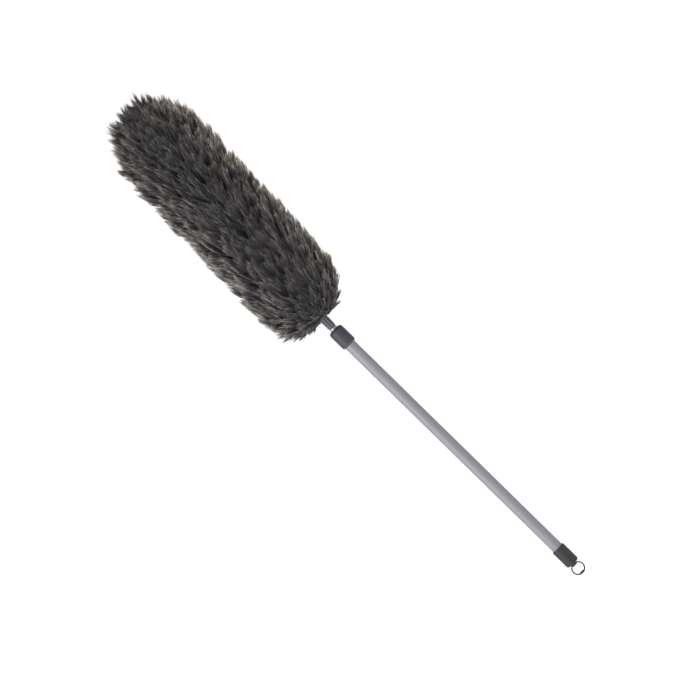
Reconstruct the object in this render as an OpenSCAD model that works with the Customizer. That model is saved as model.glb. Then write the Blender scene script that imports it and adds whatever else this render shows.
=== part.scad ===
/* [Handle tube] */
// Outside diameter of the outer tube
outer_tube_d = 19.05; // [18:0.05:20]
// Wall thickness of the outer tube
outer_tube_wall = 0.8; // [0.6:0.1:1]
// Height of the outer tube's upper end
outer_tube_top = 516.6; // [480:0.1:560]
// Outside diameter of the inner tube
inner_tube_d = 12.7; // [12:0.1:13]
// Wall thickness of the inner tube
inner_tube_wall = 0.6; // [0.5:0.1:0.8]
// Height of the inner tube's lower end, with the pole pushed in
inner_tube_foot = 93.4; // [90:0.1:150]

/* [End cap and ring] */
// Outside diameter of the end cap
cap_d = 23.2; // [22.5:0.1:26]
// Length of the end cap's round body
cap_h = 34; // [28:1:45]
// Rounding of the end cap's lower edge; its straight side begins at height 0
cap_foot_round = 1.6; // [0.5:0.1:3]
// Thickness of the end cap's floor, below the tube
cap_floor = 5; // [4:0.5:8]
// Width of the lug that carries the ring
lug_w = 9; // [8:0.5:10]
// Radius of the lug's rounded end
lug_r = 3.4; // [3.2:0.1:3.6]
// Diameter of the hole through the lug
lug_hole_d = 4; // [3.9:0.05:4.2]
// Radius of the hanging ring, at the middle of its wire
ring_r = 10; // [9.8:0.1:10.4]
// Diameter of the ring's wire
ring_wire_d = 2.2; // [2:0.1:2.3]
// Outside diameter of the sleeve over the ring's joint
ring_sleeve_d = 3.7; // [3.2:0.1:4.6]
// Length of the sleeve over the ring's joint
ring_sleeve_l = 8.6; // [7:0.1:9.2]
// Angle of the ring that runs straight, through the sleeve
ring_straight_angle = 56; // [50:1:60]

/* [Collar and bush] */
// Outside diameter of the collar
collar_d = 25.4; // [24:0.1:28]
// Length of the collar
collar_h = 34.4; // [30:0.1:40]
// Rounding of the collar's upper edge
collar_top_round = 4.6; // [3:0.1:5]
// Rounding of the collar's lower edge
collar_foot_round = 2.4; // [1:0.1:2.6]
// Length of the guide bush inside the tube
bush_h = 20; // [15:1:30]

/* [Twist lock] */
// Outside diameter of the split sleeve that grips the tube
sleeve_d = 17.35; // [17.3:0.01:17.38]
// Length of the split sleeve
sleeve_h = 32; // [30:1:32]
// Width of the split
split_w = 2.5; // [2.4:0.1:3]
// Diameter of the lock's screw
screw_d = 8; // [7.5:0.1:8.2]
// Length of the cone nut
nut_h = 14; // [12:0.5:15]

/* [Neck and core] */
// Diameter of the neck at its foot
neck_foot_d = 13.4; // [13:0.1:15]
// Diameter of the neck where the pile begins
neck_top_d = 16; // [15:0.1:16.2]
// Length of the neck above the inner tube
neck_h = 54; // [50:1:60]
// Number of ribs round the neck
neck_ribs = 10; // [6:1:18]
// Diameter of one core wire
wire_d = 2.6; // [2:0.1:2.8]
// Length of the core that makes one turn of the twist
wire_pitch = 40; // [30:1:60]

/* [Pile] */
// Radius of the pile at its middle
pile_r = 74; // [60:1:85]
// Height of the pile's lowest point
pile_foot = 541.4; // [540:0.1:546]
// Length of the pile
pile_h = 456; // [400:1:480]
// Length of the rounded end near the neck
pile_foot_dome = 62; // [40:1:80]
// Length of the rounded end at the tip
pile_tip_dome = 108; // [60:1:140]
// Thickness of the pile's outer skin, which holds the weight of its loose yarn
pile_skin = 2.5; // [2:0.1:5]
// Angle that the head leans from the pole's axis
head_lean = 2.3; // [0:0.1:5]

/* [Hidden] */

$fn = 96;
eps = 0.01;

outer_tube_id = outer_tube_d - 2 * outer_tube_wall;
inner_tube_id = inner_tube_d - 2 * inner_tube_wall;
cap_foot = -cap_foot_round;
tube_foot = cap_foot + cap_floor;

// The ring hangs in the lug: its hinge lies midway through the rise of its arc inside the hole
ring_rise = ring_r - sqrt(pow(ring_r, 2) - pow(lug_w / 2, 2));
ring_hinge_z = cap_foot - 1.32;
ring_centre_z = ring_hinge_z + ring_rise / 3 - ring_r;
ring_gap = 0.6;
ring_straight_z = ring_centre_z - ring_r * cos(ring_straight_angle / 2);
ring_straight_l = 2 * ring_r * sin(ring_straight_angle / 2);

// Collar and bush close the outer tube's mouth
bush_flange_h = 1.4;
collar_top = outer_tube_top + bush_flange_h + 3.6;
collar_foot = collar_top - collar_h;
inner_tube_top = collar_top + 3.1;

// Twist lock, from the flange of its plug down to the clip
plug_flange_h = 2.5;
plug_flange_z = inner_tube_foot - plug_flange_h;
plug_shank_h = 18;
plug_bore_d = 5;
sleeve_top = plug_flange_z - 0.5;
sleeve_foot = sleeve_top - sleeve_h;
sleeve_guide_h = 8;
sleeve_cone_top_r = 4.8;
sleeve_cone_foot_r = 7;
nut_z = sleeve_foot + 3;
nut_gap = 0.25;
washer_h = 1.2;
washer_z = sleeve_foot - 0.3 - washer_h;
clip_h = 1;
clip_z = washer_z - 0.1 - clip_h;
screw_foot = clip_z - 2.5;
groove_d = 6.4;
garter_wire_d = 1.9;
garter_z = sleeve_top - 5;
garter_r = sleeve_d / 2 - garter_wire_d / 2 + 0.03;

// Head: everything above this height leans with the core
lean_z = pile_foot - 3;
neck_foot = inner_tube_top;
neck_end = neck_foot + neck_h;
neck_plug_h = 22;
neck_rib_h = 0.55;
neck_rib_w = 1.5;
ferrule_d = 9;
ferrule_h = 16;
wire_envelope_r = wire_d;
wire_foot = neck_end - 34;
pile_top = pile_foot + pile_h;
wire_top = pile_top - 14;
root_r = 10;
neck_recess_r = neck_top_d / 2 + 1.6;
tip_cap_d = 9.5;
tip_cap_h = 13;

// How far the cone nut's side lies from the sleeve's bore at height z, so both keep one taper
function cone_r(z) = sleeve_cone_foot_r
    + (sleeve_cone_top_r - sleeve_cone_foot_r) * (z - sleeve_foot)
      / (sleeve_top - sleeve_guide_h - sleeve_foot);

// A rounded end's radius at share t of its length, from 0 at the full body to 1 at the very end
function dome_r(r, t, power) = r * pow(max(0, 1 - pow(t, power)), 1 / power);

// The pile's side seen from its axis: foot dome, straight body and tip dome, drawn in by inset
function pile_side(inset) = let (
        steps = 14,
        r = pile_r - inset,
        low = pile_foot + pile_foot_dome,
        high = pile_top - pile_tip_dome,
        foot_len = pile_foot_dome - inset,
        tip_len = pile_tip_dome - inset
    ) concat(
        [for (i = [steps:-1:0]) let (t = sin(90 * i / steps))
            [dome_r(r, t, 1.7), low - foot_len * t]],
        [for (i = [0:steps]) let (t = sin(90 * i / steps))
            [dome_r(r, t, 2.4), high + tip_len * t]]
    );

module lean() {
    translate([0, 0, lean_z]) rotate([0, head_lean, 0]) translate([0, 0, -lean_z]) children();
}

module tube(d, bore, z0, z1) {
    translate([0, 0, z0]) difference() {
        cylinder(d = d, h = z1 - z0);
        translate([0, 0, -1]) cylinder(d = bore, h = z1 - z0 + 2);
    }
}

// A round bar from z0 to z1 whose edges are rounded, foot first
module rounded_bar(d, z0, z1, foot_round, top_round) {
    rotate_extrude() union() {
        translate([0, z0 + foot_round]) square([d / 2, z1 - z0 - foot_round - top_round]);
        translate([0, z0]) square([d / 2 - foot_round, foot_round + eps]);
        translate([0, z1 - top_round - eps]) square([d / 2 - top_round, top_round + eps]);
        intersection() {
            translate([d / 2 - foot_round, z0 + foot_round]) circle(r = foot_round);
            square([d, z1]);
        }
        intersection() {
            translate([d / 2 - top_round, z1 - top_round]) circle(r = top_round);
            translate([0, z0]) square([d, z1]);
        }
    }
}

module outer_tube() {
    color([0.63, 0.62, 0.64]) tube(outer_tube_d, outer_tube_id, tube_foot, outer_tube_top);
}

module end_cap() {
    color([0.25, 0.25, 0.27]) difference() {
        union() {
            rounded_bar(cap_d, cap_foot, cap_foot + cap_h, cap_foot_round, 0.8);
            translate([-lug_w / 2, 0, ring_hinge_z]) rotate([0, 90, 0])
                cylinder(r = lug_r, h = lug_w);
            translate([-lug_w / 2, -lug_r, ring_hinge_z])
                cube([lug_w, 2 * lug_r, cap_foot + 1 - ring_hinge_z]);
        }
        translate([0, 0, tube_foot]) cylinder(d = outer_tube_d + 0.02, h = cap_h);
        translate([-lug_w / 2 - 1, 0, ring_hinge_z]) rotate([0, 90, 0])
            cylinder(d = lug_hole_d, h = lug_w + 2);
    }
}

// A wire bent into a round, whose two ends run straight towards each other inside the sleeve
module hanging_ring() {
    color([0.3, 0.3, 0.31]) {
        translate([0, 0, ring_centre_z]) rotate([90, 90 - ring_straight_angle / 2, 0])
            rotate_extrude(angle = 360 - ring_straight_angle)
                translate([ring_r, 0]) circle(d = ring_wire_d, $fn = 48);
        for (side = [-1, 1]) translate([side * ring_straight_l / 2, 0, ring_straight_z]) {
            sphere(d = ring_wire_d, $fn = 48);
            rotate([0, -side * 90, 0])
                cylinder(d = ring_wire_d, h = (ring_straight_l - ring_gap) / 2, $fn = 48);
        }
    }
}

module ring_sleeve() {
    color([0.24, 0.24, 0.26]) translate([-ring_sleeve_l / 2, 0, ring_straight_z])
        rotate([0, 90, 0]) difference() {
            cylinder(d = ring_sleeve_d, h = ring_sleeve_l, $fn = 48);
            translate([0, 0, -1]) cylinder(d = ring_wire_d + 0.04, h = ring_sleeve_l + 2, $fn = 48);
        }
}

module collar() {
    color([0.31, 0.32, 0.34]) difference() {
        rounded_bar(collar_d, collar_foot, collar_top, collar_foot_round, collar_top_round);
        translate([0, 0, collar_foot - 1])
            cylinder(d = outer_tube_d + 0.02, h = outer_tube_top + bush_flange_h - collar_foot + 1);
        cylinder(d = inner_tube_d + 0.8, h = collar_top + 1);
    }
}

module guide_bush() {
    color([0.86, 0.86, 0.84]) difference() {
        union() {
            translate([0, 0, outer_tube_top - bush_h])
                cylinder(d = outer_tube_id - 0.02, h = bush_h + eps);
            translate([0, 0, outer_tube_top]) cylinder(d = outer_tube_d - 0.05, h = bush_flange_h);
        }
        translate([0, 0, outer_tube_top - bush_h - 1])
            cylinder(d = inner_tube_d + 0.1, h = bush_h + bush_flange_h + 2);
    }
}

module inner_tube() {
    color([0.7, 0.7, 0.71]) tube(inner_tube_d, inner_tube_id, inner_tube_foot, inner_tube_top);
}

module lock_plug() {
    color([0.2, 0.2, 0.21]) difference() {
        union() {
            translate([0, 0, plug_flange_z]) cylinder(d = 15.5, h = plug_flange_h);
            translate([0, 0, inner_tube_foot - eps])
                cylinder(d = inner_tube_id - 0.06, h = plug_shank_h);
        }
        translate([0, 0, plug_flange_z - 1])
            cylinder(d = plug_bore_d, h = plug_flange_h + plug_shank_h + 2);
    }
}

module lock_screw() {
    color([0.72, 0.72, 0.7]) difference() {
        union() {
            translate([0, 0, screw_foot]) cylinder(d = screw_d, h = plug_flange_z - screw_foot);
            translate([0, 0, plug_flange_z - eps])
                cylinder(d = plug_bore_d - 0.02, h = plug_flange_h + plug_shank_h - 2);
        }
        tube(screw_d + 2, groove_d, clip_z - 0.05, clip_z + clip_h + 0.05);
    }
}

module thrust_washer() {
    color([0.75, 0.75, 0.73]) tube(14.5, screw_d + 0.3, washer_z, washer_z + washer_h);
}

module retaining_clip() {
    color([0.18, 0.18, 0.19]) difference() {
        tube(12.5, groove_d + 0.04, clip_z, clip_z + clip_h);
        translate([-2.6, 0, clip_z - 1]) cube([5.2, 10, clip_h + 2]);
    }
}

// Split all along one side: it slips over the screw, and the cone nut spreads it in the tube
module expander_sleeve() {
    color([0.85, 0.85, 0.82]) difference() {
        translate([0, 0, sleeve_foot]) cylinder(d = sleeve_d, h = sleeve_h);
        translate([0, 0, sleeve_foot]) cylinder(
            r1 = sleeve_cone_foot_r, r2 = sleeve_cone_top_r, h = sleeve_h - sleeve_guide_h);
        translate([0, 0, sleeve_foot - 1]) cylinder(r = sleeve_cone_foot_r, h = 1 + eps);
        translate([0, 0, sleeve_foot]) cylinder(d = screw_d + 0.1, h = sleeve_h + 1);
        translate([-split_w / 2, 0, sleeve_foot - 1]) cube([split_w, sleeve_d, sleeve_h + 2]);
        tube(sleeve_d + 2, 2 * garter_r - garter_wire_d - 0.04,
             garter_z - garter_wire_d / 2 - 0.1, garter_z + garter_wire_d / 2 + 0.1);
    }
}

module garter_ring() {
    color([0.12, 0.12, 0.12]) translate([0, 0, garter_z]) rotate_extrude()
        translate([garter_r, 0]) circle(d = garter_wire_d, $fn = 48);
}

// Its key rides in the sleeve's split, so it climbs the screw and doesn't turn
module cone_nut() {
    key_w = split_w - 0.5;
    color([0.9, 0.75, 0.3]) difference() {
        union() {
            translate([0, 0, nut_z]) cylinder(
                r1 = cone_r(nut_z) - nut_gap, r2 = cone_r(nut_z + nut_h) - nut_gap, h = nut_h);
            translate([-key_w / 2, 0, nut_z]) cube([key_w, sleeve_d / 2 - 0.6, nut_h]);
        }
        translate([0, 0, nut_z - 1]) cylinder(d = screw_d + 0.1, h = nut_h + 2);
    }
}

module neck() {
    rib_lean = atan((neck_top_d - neck_foot_d) / 2 / neck_h);
    color([0.37, 0.38, 0.42]) difference() {
        union() {
            translate([0, 0, neck_foot]) cylinder(d1 = neck_foot_d, d2 = neck_top_d, h = neck_h);
            translate([0, 0, neck_foot - neck_plug_h])
                cylinder(d = inner_tube_id - 0.06, h = neck_plug_h + eps);
            for (i = [0:neck_ribs - 1]) rotate([0, 0, 360 * i / neck_ribs])
                translate([neck_foot_d / 2 - 1, 0, neck_foot + 0.1]) rotate([0, rib_lean, 0])
                    translate([0, -neck_rib_w / 2, 0])
                        cube([1 + neck_rib_h, neck_rib_w, neck_h - 1]);
        }
        lean() translate([0, 0, neck_end - ferrule_h - 6])
            cylinder(d = ferrule_d + 0.04, h = ferrule_h + 20);
        lean() translate([0, 0, wire_foot - 1])
            cylinder(r = wire_envelope_r + 0.1, h = neck_h);
    }
}

module core_ferrule() {
    color([0.7, 0.7, 0.68]) lean()
        tube(ferrule_d, 2 * wire_envelope_r + 0.1, neck_end - ferrule_h - 5, neck_end + 4);
}

// One wire of the twisted pair: a ring of points carried up a helix and skinned
module core_wire(turn) {
    sides = 8;
    rings_per_turn = 10;
    length = wire_top - wire_foot;
    rings = floor(length / wire_pitch * rings_per_turn);
    helix_r = wire_d / 2;
    climb = atan(wire_pitch / (2 * PI * helix_r));
    points = [for (j = [0:rings]) let (a = turn + 360 * j / rings_per_turn)
        for (k = [0:sides - 1]) let (
            b = 360 * k / sides,
            out = helix_r + wire_d / 2 * cos(b),
            side = wire_d / 2 * sin(b)
        ) [out * cos(a) - side * sin(a) * sin(climb),
           out * sin(a) + side * cos(a) * sin(climb),
           wire_foot + length * j / rings - side * cos(climb)]];
    skin = [for (j = [0:rings - 1]) for (k = [0:sides - 1]) let (
            n = (k + 1) % sides,
            low = j * sides,
            high = low + sides
        ) each [[low + k, high + k, high + n], [low + k, high + n, low + n]]];
    foot = [for (k = [0:sides - 1]) k];
    top = [for (k = [sides - 1:-1:0]) rings * sides + k];
    polyhedron(points, concat(skin, [foot, top]));
}

module core_wire_a() { color([0.66, 0.66, 0.66]) lean() core_wire(0); }

module core_wire_b() { color([0.6, 0.6, 0.6]) lean() core_wire(180); }

module tip_cap() {
    color([0.15, 0.15, 0.16]) lean() difference() {
        rounded_bar(tip_cap_d, wire_top - tip_cap_h, wire_top + 3, 1, 3.5);
        translate([0, 0, wire_top - tip_cap_h - 1])
            cylinder(r = wire_envelope_r + 0.05, h = tip_cap_h + 1.2);
    }
}

// The pile's own room, as a skin over a dense root: between them the yarn is mostly air
module pile() {
    color([0.28, 0.27, 0.28]) lean() rotate_extrude() union() {
        difference() {
            polygon(concat([[0, pile_foot]], pile_side(0), [[0, pile_top]]));
            polygon(concat([[0, pile_foot + pile_skin]], pile_side(pile_skin),
                           [[0, pile_top - pile_skin]]));
            translate([-1, pile_foot - 1]) square([neck_recess_r + 1, pile_skin + 20]);
        }
        difference() {
            translate([wire_envelope_r + 0.1, neck_end + 6])
                square([root_r - wire_envelope_r - 0.1, pile_top - 1 - neck_end - 6]);
            translate([0, wire_top - tip_cap_h - 0.1])
                square([tip_cap_d / 2 + 0.1, tip_cap_h + 4]);
        }
    }
}

outer_tube();
end_cap();
hanging_ring();
ring_sleeve();
collar();
guide_bush();
inner_tube();
lock_plug();
lock_screw();
thrust_washer();
retaining_clip();
expander_sleeve();
garter_ring();
cone_nut();
neck();
core_ferrule();
core_wire_a();
core_wire_b();
tip_cap();
pile();
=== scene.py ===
# %% [markdown]
# # A feather duster on a telescopic pole
# The duster has a hard half and a soft half. The hard half is two tubes, a cap, a collar, a ring and a
# ribbed neck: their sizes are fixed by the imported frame, so most keep their meshes and get finishes here.
# The soft half is a thick pile of cut yarn. It could be a particle system, but a particle system can't
# ride on a body or leave the file as plain meshes, so the yarn is modelled as strands, gathered in tufts.

# %% Load the frame
import bpy
import math
import numpy as np
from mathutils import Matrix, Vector


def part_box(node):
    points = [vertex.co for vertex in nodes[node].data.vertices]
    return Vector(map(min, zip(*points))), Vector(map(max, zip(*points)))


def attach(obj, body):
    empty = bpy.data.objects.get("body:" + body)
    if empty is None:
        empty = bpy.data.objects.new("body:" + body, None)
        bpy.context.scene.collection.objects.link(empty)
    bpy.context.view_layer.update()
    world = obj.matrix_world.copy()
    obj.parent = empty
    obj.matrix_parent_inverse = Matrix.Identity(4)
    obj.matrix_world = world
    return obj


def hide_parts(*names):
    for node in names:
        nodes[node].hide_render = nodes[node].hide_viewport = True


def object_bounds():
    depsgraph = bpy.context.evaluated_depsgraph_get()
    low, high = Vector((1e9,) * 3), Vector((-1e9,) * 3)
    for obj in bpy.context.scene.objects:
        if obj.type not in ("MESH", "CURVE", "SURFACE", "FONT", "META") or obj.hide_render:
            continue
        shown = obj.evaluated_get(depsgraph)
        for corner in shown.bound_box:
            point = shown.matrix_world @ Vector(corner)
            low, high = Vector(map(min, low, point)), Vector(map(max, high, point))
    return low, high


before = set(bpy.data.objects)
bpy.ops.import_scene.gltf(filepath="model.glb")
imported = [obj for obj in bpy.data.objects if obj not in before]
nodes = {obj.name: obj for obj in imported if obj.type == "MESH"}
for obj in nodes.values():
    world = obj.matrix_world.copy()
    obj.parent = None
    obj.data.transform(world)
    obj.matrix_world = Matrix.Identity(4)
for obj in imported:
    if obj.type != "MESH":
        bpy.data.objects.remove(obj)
cad_low, cad_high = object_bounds()
MM = 0.001
scene = bpy.context.scene
print("frame box, mm:", [round(v / MM, 1) for v in (cad_high - cad_low)])

# %% [markdown]
# ## The camera
# The duster lies across the frame, its head at the upper left. A roll of the camera does that, so the
# duster itself stays upright in its own frame. A long lens keeps the pole's two edges parallel.

# %% Aim the camera along +Y with a roll
LENS_MM = 135
SENSOR_MM = 36
SEEN_WIDTH = 1.0955
ROLL = math.radians(45.6)

box_centre = (cad_low + cad_high) / 2
look_at = Vector((-0.006, 0, box_centre.z - 0.0055))
camera_data = bpy.data.cameras.new("camera")
camera_data.lens = LENS_MM
camera_data.sensor_width = SENSOR_MM
camera = bpy.data.objects.new("camera", camera_data)
scene.collection.objects.link(camera)
camera.location = look_at - Vector((0, SEEN_WIDTH * LENS_MM / SENSOR_MM, 0))
camera.rotation_euler = (math.radians(90), ROLL, 0)
scene.camera = camera
print("camera stands back, m:", round(-camera.location.y, 2))

# %% [markdown]
# ## Light and floor
# A product on a white sweep is lit from all round. The world gives that even light, a little weaker than
# the white that the camera sees. One large soft panel stands on the handle's darker side, and two behind
# catch the ends of the yarn. The floor is pale and plain, and glows a little, as a lit sweep does.

# %% A white world: what lights the duster, and what the camera sees
WORLD_LIGHT = 0.33
WORLD_SEEN = 1.05

world = bpy.data.worlds.new("sweep")
scene.world = world
world.use_nodes = True
sky = world.node_tree
sky.nodes.clear()
sky_out = sky.nodes.new("ShaderNodeOutputWorld")
sky_mix = sky.nodes.new("ShaderNodeMixShader")
sky_ray = sky.nodes.new("ShaderNodeLightPath")
for socket, strength in ((1, WORLD_LIGHT), (2, WORLD_SEEN)):
    white = sky.nodes.new("ShaderNodeBackground")
    white.inputs["Color"].default_value = (1, 1, 1, 1)
    white.inputs["Strength"].default_value = strength
    sky.links.new(white.outputs[0], sky_mix.inputs[socket])
sky.links.new(sky_ray.outputs["Is Camera Ray"], sky_mix.inputs[0])
sky.links.new(sky_mix.outputs[0], sky_out.inputs["Surface"])
scene.view_settings.view_transform = "Standard"

# %% Three soft panels
PANEL_SIZE = 1.6


def soft_panel(name, place, watts, tint=(1, 1, 1)):
    """A square area light at place that faces the duster's middle."""
    light = bpy.data.lights.new(name, "AREA")
    light.color = tint
    light.energy = watts
    light.size = PANEL_SIZE
    lamp = bpy.data.objects.new(name, light)
    scene.collection.objects.link(lamp)
    lamp.location = place
    lamp.rotation_euler = (Vector(place) - box_centre).to_track_quat("Z", "Y").to_euler()
    return lamp


soft_panel("side_panel", (-2.0, -1.6, 0.7), 36)
rim_panels = [soft_panel("right_rim_panel", (2.1, 1.25, 1.0), 150, (1, 0.94, 0.81)),
              soft_panel("left_rim_panel", (-2.1, 1.25, 0.6), 165, (1, 0.95, 0.82))]
print("panels, W:", sorted(light.energy for light in bpy.data.lights))

# %% The floor: one round sheet of pale paper, just below the ring
FLOOR_RADIUS = 14
FLOOR_GAP = 0.015
FLOOR_GLOW = 0.78

bpy.ops.object.select_all(action="DESELECT")
bpy.ops.mesh.primitive_circle_add(vertices=96, radius=FLOOR_RADIUS, fill_type="NGON",
                                  location=(0, 0, cad_low.z - FLOOR_GAP))
floor = bpy.context.object
floor.name = "floor"
paper = bpy.data.materials.new("pale_sweep")
paper.use_nodes = True
paper_shader = paper.node_tree.nodes["Principled BSDF"]
paper_shader.inputs["Base Color"].default_value = (0.93, 0.93, 0.93, 1)
paper_shader.inputs["Roughness"].default_value = 0.9
paper_shader.inputs["Emission Color"].default_value = (1, 1, 1, 1)
paper_shader.inputs["Emission Strength"].default_value = FLOOR_GLOW
floor.data.materials.append(paper)
print("floor lies below the duster, mm:", round(FLOOR_GAP / MM))

# %% [markdown]
# ## Shared surface effects
# Moulded plastic, drawn tube and wire all show the same few things: a fine grain, long marks along the
# length, and patches that handling has polished. Each is a node group with its own inputs, built once and
# placed in every material that needs it. A few short helpers add one node each, so that the groups and
# the materials read like a recipe.

# %% Helpers that set a socket and work out a sum
def feed(tree, value, socket):
    """Link value to socket where it is another node's output, and set it where it is a plain number."""
    if isinstance(value, bpy.types.NodeSocket):
        tree.links.new(value, socket)
    else:
        socket.default_value = value


def worked_out(tree, operation, first, second=0.5):
    """One Math node. Each of its two inputs is a number or another node's output."""
    node = tree.nodes.new("ShaderNodeMath")
    node.operation = operation
    feed(tree, first, node.inputs[0])
    feed(tree, second, node.inputs[1])
    return node.outputs[0]


# %% Helpers for a pattern and the places it lies on
def noise(tree, places, per_metre, detail):
    """Noise from 0 to 1 at places, with about per_metre spots to a metre."""
    node = tree.nodes.new("ShaderNodeTexNoise")
    node.inputs["Detail"].default_value = detail
    feed(tree, per_metre, node.inputs["Scale"])
    tree.links.new(places, node.inputs["Vector"])
    return node.outputs["Fac"]


def stretched(tree, places, stretch):
    """places through a Mapping node: a pattern on them is squeezed by stretch along each axis."""
    mapping = tree.nodes.new("ShaderNodeMapping")
    mapping.inputs["Scale"].default_value = stretch
    tree.links.new(places, mapping.inputs["Vector"])
    return mapping.outputs["Vector"]


def object_places(tree, stretch=(1, 1, 1)):
    """Object coordinates, stretched."""
    return stretched(tree, tree.nodes.new("ShaderNodeTexCoord").outputs["Object"], stretch)


# %% Helpers that shade a colour
def scaled(tree, colour, amount):
    """colour times amount."""
    scale = tree.nodes.new("ShaderNodeVectorMath")
    scale.operation = "SCALE"
    tree.links.new(colour, scale.inputs[0])
    tree.links.new(amount, scale.inputs["Scale"])
    return scale.outputs[0]


def shaded(tree, colour, mask, low, high):
    """colour times a grey that goes from low to high with mask."""
    span = tree.nodes.new("ShaderNodeMapRange")
    span.inputs["To Min"].default_value = low
    span.inputs["To Max"].default_value = high
    tree.links.new(mask, span.inputs["Value"])
    return scaled(tree, colour, span.outputs[0])


# %% A helper for node groups
FLOAT, COLOUR = "NodeSocketFloat", "NodeSocketColor"
MID_GREY = (0.5, 0.5, 0.5, 1)


def new_group(name, inputs, outputs):
    """A shader node group with named sockets: each input is (name, kind, value), each output (name, kind)."""
    tree = bpy.data.node_groups.new(name, "ShaderNodeTree")
    for label, kind, value in inputs:
        socket = tree.interface.new_socket(label, in_out="INPUT", socket_type=kind)
        socket.default_value = value
    for label, kind in outputs:
        tree.interface.new_socket(label, in_out="OUTPUT", socket_type=kind)
    return tree, tree.nodes.new("NodeGroupInput").outputs, tree.nodes.new("NodeGroupOutput").inputs


# %% Group: a fine grain, as a mould's spark-eroded face leaves
def make_grain():
    """Colour mottled by a fine noise, and the same noise as a height for a bump."""
    tree, given, out = new_group(
        "moulded_grain",
        [("Color", COLOUR, MID_GREY), ("Grain per m", FLOAT, 2500), ("Depth", FLOAT, 0.15)],
        [("Color", COLOUR), ("Height", FLOAT)])
    grain = noise(tree, object_places(tree), given["Grain per m"], 4)
    tree.links.new(shaded(tree, given["Color"], grain, 0.86, 1.14), out["Color"])
    tree.links.new(worked_out(tree, "MULTIPLY", grain, given["Depth"]), out["Height"])
    return tree


grain_group = make_grain()


# %% Group: long marks that drawing or sliding leaves along the pole
def make_drawn_marks():
    """Fine marks drawn out along Z that change colour, roughness and height together."""
    tree, given, out = new_group(
        "drawn_marks",
        [("Color", COLOUR, MID_GREY), ("Strength", FLOAT, 0.06), ("Roughness", FLOAT, 0.4)],
        [("Color", COLOUR), ("Roughness", FLOAT), ("Height", FLOAT)])
    marks = noise(tree, object_places(tree, (1, 1, 0.012)), 900, 3)
    swing = worked_out(tree, "MULTIPLY", worked_out(tree, "SUBTRACT", marks, 0.5), given["Strength"])
    tree.links.new(scaled(tree, given["Color"], worked_out(tree, "ADD", swing, 1)), out["Color"])
    tree.links.new(worked_out(tree, "ADD", given["Roughness"], swing), out["Roughness"])
    tree.links.new(swing, out["Height"])
    return tree


marks_group = make_drawn_marks()


# %% Group: soft patches where hands and racks have polished a surface
def make_handling():
    """Broad soft patches, a little lighter or darker, that are smoother where they are polished."""
    tree, given, out = new_group(
        "handling",
        [("Color", COLOUR, MID_GREY), ("Roughness", FLOAT, 0.5), ("Polish", FLOAT, 0.12)],
        [("Color", COLOUR), ("Roughness", FLOAT)])
    patches = noise(tree, object_places(tree, (1, 1, 0.5)), 60, 5)
    polish = worked_out(tree, "MULTIPLY", patches, given["Polish"])
    tree.links.new(shaded(tree, given["Color"], patches, 0.93, 1.07), out["Color"])
    tree.links.new(worked_out(tree, "SUBTRACT", given["Roughness"], polish), out["Roughness"])
    return tree


handling_group = make_handling()
print("node groups:", len(bpy.data.node_groups))


# %% [markdown]
# ## Finishes for the hard parts
# Two recipes join the groups to a Principled shader: one for moulded plastic and rubber, one for drawn
# metal. Numbers that are the same all over stay on the shader's own sockets.

# %% Parts that both recipes use
def placed_group(tree, group, **values):
    """A group placed in tree, with its inputs set. An underscore stands for a space in an input's name."""
    node = tree.nodes.new("ShaderNodeGroup")
    node.node_tree = group
    for label, value in values.items():
        node.inputs[label.replace("_", " ")].default_value = value
    return node


def new_finish(name):
    """A new material, its node tree and its shader."""
    finish = bpy.data.materials.new(name)
    finish.use_nodes = True
    return finish, finish.node_tree, finish.node_tree.nodes["Principled BSDF"]


def bumped(tree, shader, height, distance):
    """A bump of height, distance metres deep, on the shader's normal."""
    bump = tree.nodes.new("ShaderNodeBump")
    bump.inputs["Distance"].default_value = distance
    tree.links.new(height, bump.inputs["Height"])
    tree.links.new(bump.outputs[0], shader.inputs["Normal"])


# %% Recipe: moulded plastic
MOULD_GRAIN = 2500
MOULD_DEPTH = 0.2 * MM


def grained(tree, shader, grain, roughness):
    """Grain, then handling, then the shader: colour, roughness and bump."""
    hands = placed_group(tree, handling_group, Roughness=roughness)
    tree.links.new(grain.outputs["Color"], hands.inputs["Color"])
    tree.links.new(hands.outputs["Color"], shader.inputs["Base Color"])
    tree.links.new(hands.outputs["Roughness"], shader.inputs["Roughness"])
    bumped(tree, shader, grain.outputs["Height"], MOULD_DEPTH)


def moulded(name, colour, roughness, grain_per_m=MOULD_GRAIN, specular=0.5):
    """Plastic or rubber with the grain of its mould, polished in patches."""
    finish, tree, shader = new_finish(name)
    grain = placed_group(tree, grain_group, Color=(*colour, 1), Grain_per_m=grain_per_m)
    grained(tree, shader, grain, roughness)
    shader.inputs["Specular IOR Level"].default_value = specular
    return finish


# %% Recipe: drawn metal
DRAWN_DEPTH = 0.05 * MM


def drawn_metal(name, colour, roughness, metallic=1.0, marks=0.1):
    """Tube, wire or turned metal with fine marks along the pole."""
    finish, tree, shader = new_finish(name)
    hands = placed_group(tree, handling_group, Color=(*colour, 1), Polish=0.05)
    line = placed_group(tree, marks_group, Strength=marks, Roughness=roughness)
    tree.links.new(hands.outputs["Color"], line.inputs["Color"])
    tree.links.new(line.outputs["Color"], shader.inputs["Base Color"])
    tree.links.new(line.outputs["Roughness"], shader.inputs["Roughness"])
    bumped(tree, shader, line.outputs["Height"], DRAWN_DEPTH)
    shader.inputs["Metallic"].default_value = metallic
    return finish


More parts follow.
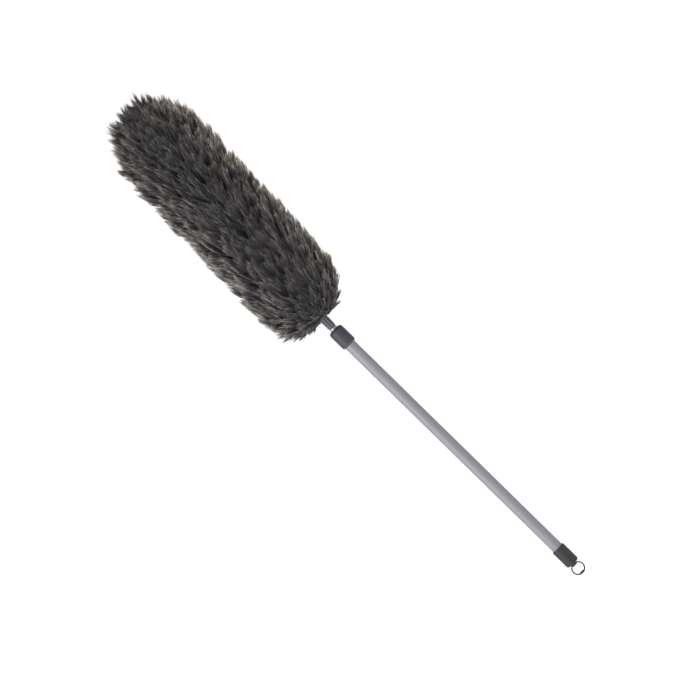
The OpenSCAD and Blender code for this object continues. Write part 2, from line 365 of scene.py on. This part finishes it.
# %% The finishes themselves, and which node wears which
FINISHES = {
    "outer_tube": drawn_metal("satin_grey_tube", (0.315, 0.303, 0.335), 0.55, 0.2, 0.07),
    "inner_tube": drawn_metal("bright_inner_tube", (0.46, 0.45, 0.46), 0.42, 0.7, 0.12),
    "end_cap": moulded("charcoal_cap", (0.026, 0.027, 0.031), 0.6),
    "collar": moulded("slate_collar", (0.048, 0.053, 0.064), 0.6),
    "neck": moulded("slate_neck", (0.095, 0.100, 0.122), 0.42),
    "hanging_ring": drawn_metal("dark_ring_wire", (0.016, 0.015, 0.014), 0.5, 0.3, 0.2),
    "ring_sleeve": drawn_metal("dark_ring_sleeve", (0.008, 0.0075, 0.0075), 0.5, 0.3, 0.2),
    "guide_bush": moulded("natural_bush", (0.70, 0.69, 0.65), 0.5),
    "lock_plug": moulded("black_plug", (0.03, 0.03, 0.032), 0.5),
    "lock_screw": drawn_metal("zinc_screw", (0.62, 0.61, 0.58), 0.35, 1.0, 0.2),
    "thrust_washer": drawn_metal("zinc_washer", (0.66, 0.65, 0.62), 0.3, 1.0, 0.2),
    "retaining_clip": drawn_metal("black_spring_clip", (0.05, 0.05, 0.055), 0.4, 0.8, 0.2),
    "expander_sleeve": moulded("natural_sleeve", (0.74, 0.73, 0.68), 0.45),
    "garter_ring": moulded("black_rubber", (0.018, 0.018, 0.018), 0.75, 4000, 0.35),
    "cone_nut": moulded("ochre_nut", (0.60, 0.36, 0.06), 0.45),
    "core_ferrule": drawn_metal("zinc_ferrule", (0.62, 0.61, 0.58), 0.35, 1.0, 0.2),
    "core_wire_a": drawn_metal("core_wire_steel", (0.50, 0.50, 0.51), 0.3, 1.0, 0.2),
    "core_wire_b": drawn_metal("core_wire_steel_b", (0.46, 0.46, 0.47), 0.34, 1.0, 0.2),
    "tip_cap": moulded("black_tip_cap", (0.03, 0.03, 0.032), 0.5),
}
for name, finish in FINISHES.items():
    nodes[name].data.materials.clear()
    nodes[name].data.materials.append(finish)
print("finishes:", len(FINISHES))

# %% [markdown]
# ## The collar and the neck
# The collar is a moulded grip on the outer tube's mouth, with a full round at both ends. The neck is a
# tapered socket with fine ribs for the thumb. Both are turned shapes, so a ring of edges is extruded and
# resized from one station to the next, as clay rises on a wheel. A cylinder with bevels would round the
# edges too, but it can't taper or carry ribs.

# %% Helpers: one thing selected, and a first ring of edges
def select_only(thing):
    """Deselect everything else, so that the next operator acts on thing alone."""
    bpy.ops.object.select_all(action="DESELECT")
    thing.select_set(True)
    bpy.context.view_layer.objects.active = thing


def new_ring(name, sides, radius, height, fill):
    """A circle at its height, with its place in its mesh, open for edits and all selected."""
    bpy.ops.object.select_all(action="DESELECT")
    bpy.ops.mesh.primitive_circle_add(vertices=sides, radius=radius, fill_type=fill,
                                      location=(0, 0, height))
    made = bpy.context.object
    made.name = name
    bpy.ops.object.transform_apply(location=True, rotation=True, scale=True)
    bpy.ops.object.mode_set(mode="EDIT")
    bpy.ops.mesh.select_all(action="SELECT")
    return made


# %% Helpers: raise what is selected, and finish
def raise_ring(length, widen):
    """Extrude what is selected upwards by length, and widen its new end."""
    bpy.ops.mesh.extrude_region_move(TRANSFORM_OT_translate={"value": (0, 0, length)})
    bpy.ops.transform.resize(value=(widen, widen, 1))


def finish_edits():
    """Turn every face outwards and leave edit mode."""
    bpy.ops.mesh.select_all(action="SELECT")
    bpy.ops.mesh.normals_make_consistent(inside=False)
    bpy.ops.object.mode_set(mode="OBJECT")


# %% A ring of edges, drawn up through its stations
SHARP_ANGLE = math.radians(40)


def turned(name, stations, sides):
    """A turned shape through (radius, height) stations, its last ring joined to its first."""
    made = new_ring(name, sides, *stations[0], "NOTHING")
    for (radius, height), (next_radius, next_height) in zip(stations, stations[1:]):
        raise_ring(next_height - height, next_radius / radius)
    bpy.ops.mesh.select_all(action="DESELECT")
    bpy.ops.mesh.select_non_manifold()
    bpy.ops.mesh.bridge_edge_loops()
    finish_edits()
    select_only(made)
    bpy.ops.object.shade_smooth_by_angle(angle=SHARP_ANGLE)
    return made


def rounded(centre_radius, centre_height, bend, start, end, steps=6):
    """Stations along an arc, with angles in degrees from straight out."""
    angles = [math.radians(start + (end - start) * step / steps) for step in range(steps + 1)]
    return [(centre_radius + bend * math.cos(a), centre_height + bend * math.sin(a)) for a in angles]


# %% The collar's stations: up the outside, over the lip and down the bore
COLLAR_FOOT_ROUND = 3.6 * MM
COLLAR_TOP_ROUND = 5.2 * MM
COLLAR_LIP = 0.5 * MM
COLLAR_LID = 3 * MM

collar_low, collar_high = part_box("collar")
inner_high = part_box("inner_tube")[1]
collar_out = collar_high.x
bore_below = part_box("outer_tube")[1].x + 0.05 * MM
bore_above = inner_high.x + 0.4 * MM
collar_stations = [
    (bore_below, collar_low.z),
    *rounded(collar_out - COLLAR_FOOT_ROUND, collar_low.z + COLLAR_FOOT_ROUND, COLLAR_FOOT_ROUND, -80, 0),
    *rounded(collar_out - COLLAR_TOP_ROUND, collar_high.z - COLLAR_TOP_ROUND, COLLAR_TOP_ROUND, 0, 82),
    (bore_above + COLLAR_LIP, collar_high.z),
    (bore_above, collar_high.z - COLLAR_LIP),
    (bore_above, collar_high.z - COLLAR_LID),
    (bore_below, collar_high.z - COLLAR_LID),
]

# %% Model the collar
COLLAR_SIDES = 96

collar = turned("collar_grip", collar_stations, COLLAR_SIDES)
collar.data.materials.append(FINISHES["collar"])
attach(collar, "handle")
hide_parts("collar")
print("collar, mm:", [round(v / MM, 1) for v in collar.dimensions])

# %% The neck's stations: a slow taper with a small bevel at each end, round a fine bore
NECK_SIDES = 120
NECK_STEPS = 12
NECK_BORE = 1.5 * MM
NECK_BEVEL = 0.6 * MM
NECK_FOOT_RADIUS = 6.1 * MM
NECK_TOP_RADIUS = 7.4 * MM

neck_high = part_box("neck")[1]
neck_start = inner_high.z
neck_length = neck_high.z - neck_start
neck_shares = [step / NECK_STEPS for step in range(NECK_STEPS + 1)]
neck_stations = [
    (NECK_BORE, neck_start),
    (NECK_FOOT_RADIUS - NECK_BEVEL, neck_start),
    *[(NECK_FOOT_RADIUS + (NECK_TOP_RADIUS - NECK_FOOT_RADIUS) * share,
       neck_start + NECK_BEVEL + (neck_length - 2 * NECK_BEVEL) * share) for share in neck_shares],
    (NECK_TOP_RADIUS - NECK_BEVEL, neck_high.z),
    (NECK_BORE, neck_high.z),
]
neck = turned("neck_socket", neck_stations, NECK_SIDES)
print("neck, mm:", [round(v / MM, 1) for v in neck.dimensions])


# %% Helpers: read a mesh's points and move them
def mesh_points(mesh):
    """A mesh's vertices as one array with a row for each."""
    points = np.empty(len(mesh.vertices) * 3)
    mesh.vertices.foreach_get("co", points)
    return points.reshape(-1, 3)


def move_points(mesh, points):
    """Put every vertex of a mesh at its row of points."""
    mesh.vertices.foreach_set("co", points.ravel())
    mesh.update()


# %% Raise the neck's ribs: a wave round its side that fades out at the foot and on the ends
NECK_RIBS = 10
RIB_RISE = 0.85 * MM

neck_points = mesh_points(neck.data)
neck_turn = np.arctan2(neck_points[:, 1], neck_points[:, 0])
neck_radius = np.hypot(neck_points[:, 0], neck_points[:, 1])
foot_fade = np.clip((neck_points[:, 2] - neck_start - 0.4 * MM) / (2 * MM), 0, 1)
end_fade = np.clip((neck_radius - 5 * MM) / (1 * MM), 0, 1)
rib = np.clip(np.cos(neck_turn * NECK_RIBS) * 1.5 - 0.2, -0.4, 1) * RIB_RISE * foot_fade * end_fade
neck_points[:, :2] *= ((neck_radius + rib) / neck_radius)[:, None]
move_points(neck.data, neck_points)
print("ribs:", NECK_RIBS, " from valley to top, mm:", round(float(rib.max() - rib.min()) / MM, 2))


# %% Helpers: the axes of a place, and a colour ramp
def split_axes(tree, places):
    """The X, Y and Z of places, each as an output of its own."""
    axes = tree.nodes.new("ShaderNodeSeparateXYZ")
    tree.links.new(places, axes.inputs[0])
    return axes.outputs


def ramp(tree, mask, stops):
    """A colour ramp over mask. stops are (place, colour), first and last at 0 and 1."""
    node = tree.nodes.new("ShaderNodeValToRGB")
    elements = node.color_ramp.elements
    elements[0].color = (*stops[0][1], 1)
    elements[1].color = (*stops[-1][1], 1)
    for place, colour in stops[1:-1]:
        elements.new(place).color = (*colour, 1)
    tree.links.new(mask, node.inputs["Fac"])
    return node.outputs["Color"]


# %% The neck's finish: slate plastic with a painted highlight along each rib top and painted shade in the valleys between
neck_finish, neck_tree, neck_shader = new_finish("ribbed_slate")
neck_axes = split_axes(neck_tree, object_places(neck_tree))
neck_angle = worked_out(neck_tree, "ARCTAN2", neck_axes["Y"], neck_axes["X"])
rib_wave = worked_out(neck_tree, "COSINE", worked_out(neck_tree, "MULTIPLY", neck_angle, NECK_RIBS))
# The colour itself is pale on the rib tops as a painted highlight, and dark in the valleys as painted shade.
rib_highlight_mask = neck_tree.nodes.new("ShaderNodeMapRange")
rib_highlight_mask.inputs["From Min"].default_value = 0.35
rib_highlight_mask.inputs["From Max"].default_value = 0.95
neck_tree.links.new(rib_wave, rib_highlight_mask.inputs["Value"])
rib_painted_highlights = ramp(neck_tree, rib_highlight_mask.outputs[0], [(0, (0.048, 0.051, 0.064)), (1, (0.215, 0.222, 0.255))])
neck_grain = placed_group(neck_tree, grain_group, Grain_per_m=MOULD_GRAIN)
neck_tree.links.new(rib_painted_highlights, neck_grain.inputs["Color"])
grained(neck_tree, neck_shader, neck_grain, 0.42)
neck.data.materials.append(neck_finish)
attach(neck, "pole")
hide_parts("neck")

# %% [markdown]
# ## The pile
# Yarn is trapped between two twisted wires and cut to length, so each strand runs out from the core and
# falls over towards the tip. Strands cling together in tufts a few millimetres thick. The pile is built in
# three steps: a strand, a handful of different tufts, and then every tuft's place.

# %% The pile's own frame: the core leans a little from the pole
LEAN = math.radians(2.3)
FOOT_SETBACK = 3 * MM

pile_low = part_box("pile")[0]
core_foot = Vector((0, 0, pile_low.z - FOOT_SETBACK))
core_way = np.array([math.sin(LEAN), 0, math.cos(LEAN)])
side_way = np.array([math.cos(LEAN), 0, -math.sin(LEAN)])
back_way = np.array([0.0, 1.0, 0.0])
print("the core leans, degrees:", round(math.degrees(LEAN), 1))

# %% [markdown]
# ### Two outlines, one inside the other
# The tips of the yarn lie on a long rounded outline and the roots on a smaller one inside it. Both are a
# quarter ellipse, a straight side and a quarter ellipse, so a single number along the outline, from 0 at
# the foot to 1 at the nose, finds the same place on both.

# %% The outlines of the roots and of the tips
FOOT_PART, NOSE_PART = 0.19, 0.745


def outline(along, girth, start, foot, nose, end):
    """Distance from the core and height up the core, at each number along the outline."""
    along = np.clip(along, 0, 1)
    foot_turn = np.clip(along / FOOT_PART, 0, 1) * math.pi / 2
    nose_turn = np.clip((along - NOSE_PART) / (1 - NOSE_PART), 0, 1) * math.pi / 2
    side = np.clip((along - FOOT_PART) / (NOSE_PART - FOOT_PART), 0, 1)
    straight = end - nose - start - foot
    radius = girth * np.sin(foot_turn) * np.cos(nose_turn)
    height = start + foot * (1 - np.cos(foot_turn)) + straight * side + nose * np.sin(nose_turn)
    return radius, height


def root_outline(along):
    """Where the yarn's roots lie, deep in the pile."""
    return outline(along, girth=0.045, start=0.010, foot=0.038, nose=0.062, end=0.420)


def tip_outline(along):
    """Where the yarn's tips lie, on the outside of the pile."""
    return outline(along, girth=0.075, start=0.004, foot=0.055, nose=0.092, end=0.456)


def on_core(radius, height, turn):
    """Points in the frame from a distance, a height and an angle about the leaning core."""
    across = np.outer(np.cos(turn) * radius, side_way) + np.outer(np.sin(turn) * radius, back_way)
    return np.array(core_foot) + across + np.outer(height, core_way)


# %% [markdown]
# ### A dark mat of painted shade below the strands
# Deep in the pile no light is left, and that dark is what makes each tuft stand out. A closed, lumpy mat
# on the roots' outline, coloured nearly black as painted shade, gives that depth, and it hides the empty
# middle, which then needs no strands.

# %% Model the mat: a round face, extruded along the outline
MAT_SIDES = 72
MAT_RINGS = 48

mat_radius, mat_height = root_outline(np.linspace(0.045, 0.985, MAT_RINGS))
pile_shade_mat = new_ring("pile_shade_mat", MAT_SIDES, mat_radius[0], mat_height[0], "NGON")
for lift, widen in zip(np.diff(mat_height), mat_radius[1:] / mat_radius[:-1]):
    raise_ring(lift, widen)
finish_edits()
select_only(pile_shade_mat)
bpy.ops.object.shade_smooth()
print("mat faces:", len(pile_shade_mat.data.polygons))

# %% Lumps in the mat, and its place on the leaning core
LUMP_DEPTH = 0.04

mat_points = mesh_points(pile_shade_mat.data)
mat_turn = np.arctan2(mat_points[:, 1], mat_points[:, 0])
mat_up = mat_points[:, 2]
lump = 1 + LUMP_DEPTH * np.sin(mat_turn * 9 + mat_up * 300) * np.sin(mat_up * 410 - mat_turn * 4)
mat_out = np.hypot(mat_points[:, 0], mat_points[:, 1]) * lump
mat_placed = on_core(mat_out, mat_up, mat_turn)
move_points(pile_shade_mat.data, mat_placed)
print("mat, mm:", [round(float(v) / MM, 1) for v in np.ptp(mat_placed, axis=0)])

# %% The mat's finish: the hidden yarn roots, coloured nearly black with a faint mottle as painted shade deep in the pile
mat_finish, mat_tree, mat_shader = new_finish("painted_pile_shade")
mat_noise = noise(mat_tree, object_places(mat_tree), 450, 3)
# Nearly black: painted shade for the depth of the pile.
mat_painted_shade = ramp(mat_tree, mat_noise, [(0, (0.004, 0.004, 0.0045)), (1, (0.028, 0.027, 0.029))])
mat_tree.links.new(mat_painted_shade, mat_shader.inputs["Base Color"])
bumped(mat_tree, mat_shader, mat_noise, 1 * MM)
mat_shader.inputs["Roughness"].default_value = 0.95
mat_shader.inputs["Specular IOR Level"].default_value = 0.15
pile_shade_mat.data.materials.append(mat_finish)
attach(pile_shade_mat, "pole")
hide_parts("pile")

# %% [markdown]
# ### One strand, and a few different tufts
# A strand is three-sided, swells a little, thins and closes in a blunt point: more sides wouldn't show on
# yarn this fine, and there are tens of thousands of strands. A finer one stands for the loose fibres. A
# tuft gathers copies of both, most tilted in towards the tuft's own point and some splayed from it. A few
# different tufts are enough, because each is bent afresh.

# %% Model a strand by extruding a triangle and closing its end
TUFT_LENGTH = 40 * MM


def model_strand(name, radius, start, steps, point):
    """A strand from a triangle: steps are a length in mm and a widening each, point the closing length."""
    made = new_ring(name, 3, radius, start, "NGON")
    for length, widen in steps:
        raise_ring(length * MM, widen)
    bpy.ops.mesh.extrude_region_move(TRANSFORM_OT_translate={"value": (0, 0, point * MM)})
    bpy.ops.mesh.merge(type="CENTER")
    finish_edits()
    print(name, "faces:", len(made.data.polygons))
    return made


strand = model_strand("strand", 0.85 * MM, 0, [(13, 1.1), (12, 0.95), (10, 0.80)], 5)
fine_strand = model_strand("fine_strand", 0.24 * MM, 20 * MM, [(12, 0.9)], 11)

# %% Copy a strand into its place in a tuft
chance = np.random.default_rng(7)


def placed_strand(pattern, out, turn, lean_in, stretch, tone):
    """A copy of a strand, out from the tuft's middle and leaning towards it, with its own shade number."""
    copy = pattern.copy()
    copy.data = pattern.data.copy()
    scene.collection.objects.link(copy)
    copy.location = (out * math.cos(turn), out * math.sin(turn), 0)
    copy.rotation_euler = (math.sin(turn) * lean_in, -math.cos(turn) * lean_in, chance.uniform(0, 2))
    copy.scale = (1, 1, stretch)
    shade = copy.data.attributes.new("shade", "FLOAT", "POINT")
    shade.data.foreach_set("value", np.full(len(copy.data.vertices), tone))
    return copy


# %% Gather strands into tufts
STRANDS_IN_TUFT = 12
FINE_IN_TUFT = 7
TUFT_KINDS = 8
TUFT_SPREAD = 3 * MM
FINE_SPREAD = 0.8 * MM
GOLDEN_TURN = 2.39996


def gather_tuft(kind):
    """One tuft: thick strands that close in on its point, and fine ones that stray from it."""
    parts = []
    for number in range(STRANDS_IN_TUFT):
        out = TUFT_SPREAD * math.sqrt((number + 0.5) / STRANDS_IN_TUFT)
        lean_in = chance.uniform(-0.35, 0.6) * out / TUFT_LENGTH
        parts.append(placed_strand(strand, out, number * GOLDEN_TURN + kind, lean_in,
                                   chance.uniform(0.74, 1.02), chance.random()))
    # Fine strands get high shade numbers, so they come out pale: partly their own pale tone, partly painted
    # light for loose fibres lit at the pile's edges.
    for number in range(FINE_IN_TUFT):
        lean_in = chance.uniform(-0.16, 0.02)
        parts.append(placed_strand(fine_strand, FINE_SPREAD, number * GOLDEN_TURN, lean_in,
                                   chance.uniform(0.82, 1.02), chance.uniform(0.8, 1.5)))
    select_only(parts[0])
    for copy in parts:
        copy.select_set(True)
    bpy.ops.object.join()
    tuft = bpy.context.object
    tuft.name = "tuft_%d" % kind
    bpy.ops.object.transform_apply(location=True, rotation=True, scale=True)
    return tuft


tufts = [gather_tuft(kind) for kind in range(TUFT_KINDS)]
print("tuft faces:", len(tufts[0].data.polygons))

# %% [markdown]
# ### Where each tuft goes
# A spiral of equal area steps spreads the tufts evenly, as the twisted wires do, and a little chance
# breaks its rows. A tuft leaves the core straight out and then falls towards the nose. At the foot it
# lies out along the round bottom, and on one side it hangs a little lower.

# %% Spread the tufts over the outline
TUFT_COUNT = 5000
OUTLINE_STEPS = 2001

steps = np.linspace(0, 1, OUTLINE_STEPS)
step_radius, step_height = tip_outline(steps)
step_length = np.hypot(np.diff(step_radius), np.diff(step_height))
step_area = np.concatenate(([0], np.cumsum((step_radius[1:] + step_radius[:-1]) / 2 * step_length)))
order = (np.arange(TUFT_COUNT) + 0.5) / TUFT_COUNT
along = np.interp(order * step_area[-1], step_area, steps)
along = along + chance.normal(0, 0.006, TUFT_COUNT)
turn = np.arange(TUFT_COUNT) * GOLDEN_TURN + chance.normal(0, 0.05, TUFT_COUNT)
reach = np.clip(chance.normal(0.98, 0.09, TUFT_COUNT), 0.74, 1.2)
tuft_share = step_area[-1] * 2 * math.pi / TUFT_COUNT
print("tufts:", TUFT_COUNT, " square mm for each:", round(tuft_share / MM ** 2))

# %% [markdown]
# Yarn that has been handled hangs together in clumps a thumb wide, with dark partings between them. Each
# tuft's tip is drawn part of the way to the nearest clump's middle, and a clump stands out a little or
# lies a little low as a whole. This one step turns a smooth fur into a shaggy duster.

# %% Clumps: every tuft belongs to the nearest clump's middle
CLUMP_COUNT = 430
CLUMP_DRAW = 0.40

clump_along = np.interp(chance.random(CLUMP_COUNT) * step_area[-1], step_area, steps)
clump_turn = chance.uniform(0, 2 * math.pi, CLUMP_COUNT)
clump_middles = on_core(*tip_outline(clump_along), clump_turn)
tuft_places = on_core(*tip_outline(along), turn)
clump_of = np.linalg.norm(tuft_places[:, None] - clump_middles[None], axis=2).argmin(1)
clump_pull = (clump_middles[clump_of] - tuft_places) * CLUMP_DRAW
reach = reach * chance.normal(1, 0.05, CLUMP_COUNT)[clump_of]
clump_tone = chance.normal(0, 0.07, CLUMP_COUNT)[clump_of]
print("clumps:", len(np.unique(clump_of)))

# %% Where each tuft's root and tip lie on the two outlines
FALL = 0.042
LEAST_ROOT = 10.5 * MM
HANG = 16 * MM
SLIM = 0.34

foot_share = np.clip(1 - along / FOOT_PART, 0, 1)
fall = FALL * (1 + 0.6 * foot_share) * np.clip((1.02 - along) / 0.2, 0, 1)
root_radius, root_height = root_outline(np.clip(along - fall * 0.35, 0.02, 1))
tip_radius, tip_height = tip_outline(along + fall * 0.65)
tip_turn = turn + chance.normal(0, 0.035, TUFT_COUNT)
hang = HANG * np.clip(-np.cos(tip_turn), 0, 1) * np.sqrt(foot_share * (1 - foot_share))
slim = 1 - SLIM * np.clip(np.cos(tip_turn), 0, 1) * foot_share ** 0.5
tip_radius = np.maximum((root_radius + (tip_radius - root_radius) * reach) * slim, 0)
tip_height = root_height + (tip_height - root_height) * reach - hang
root_radius = np.maximum(root_radius, LEAST_ROOT)

# %% Each tuft's path: root, bend and tip
STRAY = 3.4 * MM
NOSE_STRAY = 4 * MM

roots = on_core(root_radius, root_height, turn)
tips = on_core(tip_radius, tip_height, tip_turn) + clump_pull
stray = STRAY + NOSE_STRAY * np.clip((along - 0.84) / 0.1, 0, 1)
tips = tips + chance.normal(0, 1, (TUFT_COUNT, 3)) * stray[:, None]
outward = on_core(np.ones(TUFT_COUNT), np.zeros(TUFT_COUNT), turn) - np.array(core_foot)
nose_share = np.clip((along - NOSE_PART) / (1 - NOSE_PART), 0, 1)[:, None]
rise = outward * (1 - nose_share) + core_way * nose_share
gap = np.linalg.norm(tips - roots, axis=1)
bends = roots + rise * (gap * (0.22 + 0.2 * foot_share))[:, None]
around = np.cross(core_way, outward)
print("tuft length, mm:", round(float(gap.min()) / MM, 1), "to", round(float(gap.max()) / MM, 1))


# %% Yarn that would stand out too far lies back on its neighbours
FREE_REACH = 76.5 * MM
LIE_BACK = 0.42


def laid_back(points):
    """Points drawn in towards the core where they stand out past the free reach."""
    from_foot = points - np.array(core_foot)
    out = from_foot - (from_foot @ core_way)[..., None] * core_way
    far = np.linalg.norm(out, axis=-1)
    kept = np.where(far > FREE_REACH, FREE_REACH + (far - FREE_REACH) * LIE_BACK, far)
    return points + out * (kept / np.maximum(far, 1e-6) - 1)[..., None]


# %% [markdown]
# ### Bending the tufts
# A tuft is modelled straight up, and its height turns into a share of its path: a curve from the root,
# past the bend, to the tip. Two directions square to the path carry its width and depth. Each tuft gets
# its own turn, size, sway and lift from chance, so no two look alike. Blender's Curve modifier could bend
# a tuft too, but thousands of curves are slow, and the same sum over an array bends hundreds at once.

# %% The path of every chosen tuft, and the two directions square to it
def unit(ways):
    """Directions of length one."""
    return ways / np.linalg.norm(ways, axis=2, keepdims=True)


def paths(chosen, share):
    """Points on the chosen tufts' paths at each share, and the ways across and up from them."""
    root, bend, tip, across = (way[chosen][:, None, :] for way in (roots, bends, tips, around))
    path = root * (1 - share) ** 2 + bend * 2 * share * (1 - share) + tip * share ** 2
    forward = unit((bend - root) * (1 - share) + (tip - bend) * share)
    across = unit(across - forward * (across * forward).sum(2, keepdims=True))
    return path, across, np.cross(forward, across)


# %% Bend one kind of tuft along many paths at once
CURL = 1.8 * MM
LIFT = 1.2 * MM
WAVE = 0.5 * MM
ANY_TURN = 6.3


def bent_tufts(kind, chosen):
    """The points of every chosen tuft, its shade numbers and its place from root to tip."""
    mesh = tufts[kind].data
    points = mesh_points(mesh)[None, :, :, None]
    shades = np.empty(len(mesh.vertices))
    mesh.attributes["shade"].data.foreach_get("value", shades)
    share = np.clip(points[:, :, 2] / TUFT_LENGTH, 0, 1.2)
    path, across, upward = paths(chosen, share)
    each = (len(chosen), 1, 1)
    curl = chance.normal(0, CURL, each)
    phase = chance.uniform(0, ANY_TURN, each)
    lift = chance.normal(0, LIFT, each) * np.sin(share * 4.2 + phase)
    spin = chance.uniform(0, ANY_TURN, each)
    size = chance.uniform(0.8, 1.25, each)
    sway = curl * np.sin(share * 5.5 + phase) * share ** 0.7
    wide = (points[:, :, 0] * np.cos(spin) - points[:, :, 1] * np.sin(spin)) * size * 1.15
    deep = (points[:, :, 0] * np.sin(spin) + points[:, :, 1] * np.cos(spin)) * size * 0.8
    wave = WAVE * share * np.sin(share * 15 + shades[None, :, None] * 40 + phase)
    placed = laid_back(path + across * (wide + sway + wave) + upward * (deep + lift - wave))
    tone = chance.normal(0, 0.165, (len(chosen), 1)) + clump_tone[chosen][:, None]
    shade = np.clip(shades[None, :] * 0.55 + 0.22 + tone, 0.01, 0.97)
    return placed, shade, np.broadcast_to(share[:, :, 0], shade.shape)


# %% [markdown]
# ### Joining the tufts into bands
# A single mesh of all the yarn would be too large to handle, and one object for each tuft too many, so the
# tufts are joined in ten bands along the core. Each band's map is a chart: a strand's shade from left to
# right, and root to tip upwards. Strands of one shade share one place on it, which is what keeps the
# yarn's finish sharp on a picture of ordinary size.

# %% Copies of one tuft's faces, and a mesh from points and faces
NO_CORNER = -1


def face_rows(mesh):
    """A mesh's faces as rows of four vertex numbers. A triangle's fourth is NO_CORNER."""
    return np.array([list(face.vertices) + [NO_CORNER] * (4 - len(face.vertices)) for face in mesh.polygons])


def repeated_faces(mesh, times, first):
    """The faces of as many copies of mesh, their vertices numbered on from first."""
    rows = face_rows(mesh)[None]
    shift = (np.arange(times) * len(mesh.vertices))[:, None, None] + first
    return np.where(rows == NO_CORNER, NO_CORNER, rows + shift).reshape(-1, 4)


def mesh_from(name, points, faces):
    """A smooth mesh of triangles and quads, and each face's number of corners."""
    mesh = bpy.data.meshes.new(name)
    sizes = (faces != NO_CORNER).sum(1)
    corners = faces[faces != NO_CORNER]
    mesh.vertices.add(len(points))
    mesh.vertices.foreach_set("co", points.ravel())
    mesh.loops.add(len(corners))
    mesh.loops.foreach_set("vertex_index", corners)
    mesh.polygons.add(len(faces))
    mesh.polygons.foreach_set("loop_start", np.concatenate(([0], np.cumsum(sizes)[:-1])))
    mesh.polygons.foreach_set("use_smooth", np.ones(len(faces), bool))
    mesh.update(calc_edges=True)
    return mesh, corners, sizes


# %% Join the tufts of one band
BANDS = 10
YARN_MAP = "OFBake"
CHART_STEP = 0.012
kind_of = chance.integers(0, TUFT_KINDS, TUFT_COUNT)
band_of = np.minimum((order * BANDS).astype(int), BANDS - 1)


def model_band(number):
    """One band of the pile as one mesh, with a chart of shade by root-to-tip as its map."""
    all_points, all_faces, all_chart = [], [], []
    first = 0
    for kind in range(TUFT_KINDS):
        chosen = np.nonzero((band_of == number) & (kind_of == kind))[0]
        points, shade, share = bent_tufts(kind, chosen)
        all_faces.append(repeated_faces(tufts[kind].data, len(chosen), first))
        all_points.append(points.reshape(-1, 3))
        all_chart.append(np.stack([shade.ravel(), share.ravel()], axis=1))
        first += len(all_points[-1])
    name = "pile_band_%02d" % number
    mesh, corners, sizes = mesh_from(name, np.concatenate(all_points), np.concatenate(all_faces))
    chart = np.concatenate(all_chart)[corners]
    corner_in_face = np.concatenate([np.arange(size) for size in sizes])
    chart[:, 0] += CHART_STEP * (corner_in_face % 2)
    mesh.uv_layers.new(name=YARN_MAP).data.foreach_set("uv", chart.ravel())
    band = bpy.data.objects.new(name, mesh)
    scene.collection.objects.link(band)
    return band


bands = [model_band(number) for number in range(BANDS)]
triangles = [sum(len(face.vertices) - 2 for face in band.data.polygons) for band in bands]
print("triangles in a band:", max(triangles), " in all:", sum(triangles))

# %% [markdown]
# ### The yarn's finish
# The chart gives each strand a shade from left to right and runs from root to tip upwards. Little light
# reaches the roots, so the ramp paints them dark as painted shade. The cut ends are fluffed and pale, and the
# ramp makes them paler still as painted light for the lit edges of the pile. Fine streaks run along the
# strand where its fibres twist. Soft fibres catch light from the side: that is what sheen is for.

# %% Yarn: a ramp from root to tip, with painted shade at the roots and painted light at the tips, times the strand's shade, with fibre streaks
yarn, yarn_tree, yarn_shader = new_finish("charcoal_yarn")
yarn_chart = yarn_tree.nodes.new("ShaderNodeUVMap")
yarn_chart.uv_map = YARN_MAP
yarn_axes = split_axes(yarn_tree, yarn_chart.outputs["UV"])
# The dark stops up to 0.6 are painted shade at the roots. The last stop is the cut ends' pale colour, made
# paler as painted light for the pile's lit edges.
yarn_colour_and_painted_light = ramp(yarn_tree, yarn_axes["Y"], [
    (0.00, (0.006, 0.006, 0.0065)),
    (0.60, (0.011, 0.0103, 0.0134)),
    (0.84, (0.047, 0.0435, 0.054)),
    (0.94, (0.112, 0.105, 0.112)),
    (1.00, (0.470, 0.447, 0.375)),
])
streaks = noise(yarn_tree, stretched(yarn_tree, yarn_chart.outputs["UV"], (60, 5, 1)), 3, 4)
yarn_toned = shaded(yarn_tree, yarn_colour_and_painted_light, yarn_axes["X"], 0.25, 1.9)
yarn_tree.links.new(shaded(yarn_tree, yarn_toned, streaks, 0.75, 1.25), yarn_shader.inputs["Base Color"])
yarn_shader.inputs["Roughness"].default_value = 0.85
yarn_shader.inputs["Specular IOR Level"].default_value = 0.25
yarn_shader.inputs["Sheen Weight"].default_value = 0.3
yarn_shader.inputs["Sheen Roughness"].default_value = 0.45
yarn_shader.inputs["Sheen Tint"].default_value = (0.85, 0.80, 0.74, 1)
for band in bands:
    band.data.materials.append(yarn)
    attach(band, "pole")
    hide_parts("pile")

# %% The rim panels light the pile alone, as lamps with flags would
pile_group = bpy.data.collections.new("pile_light")
scene.collection.children.link(pile_group)
for piece in [pile_shade_mat, *bands]:
    pile_group.objects.link(piece)
for panel in rim_panels:
    panel.light_linking.receiver_collection = pile_group

# %% Put the patterns away
for pattern in [strand, fine_strand, *tufts]:
    bpy.data.objects.remove(pattern)
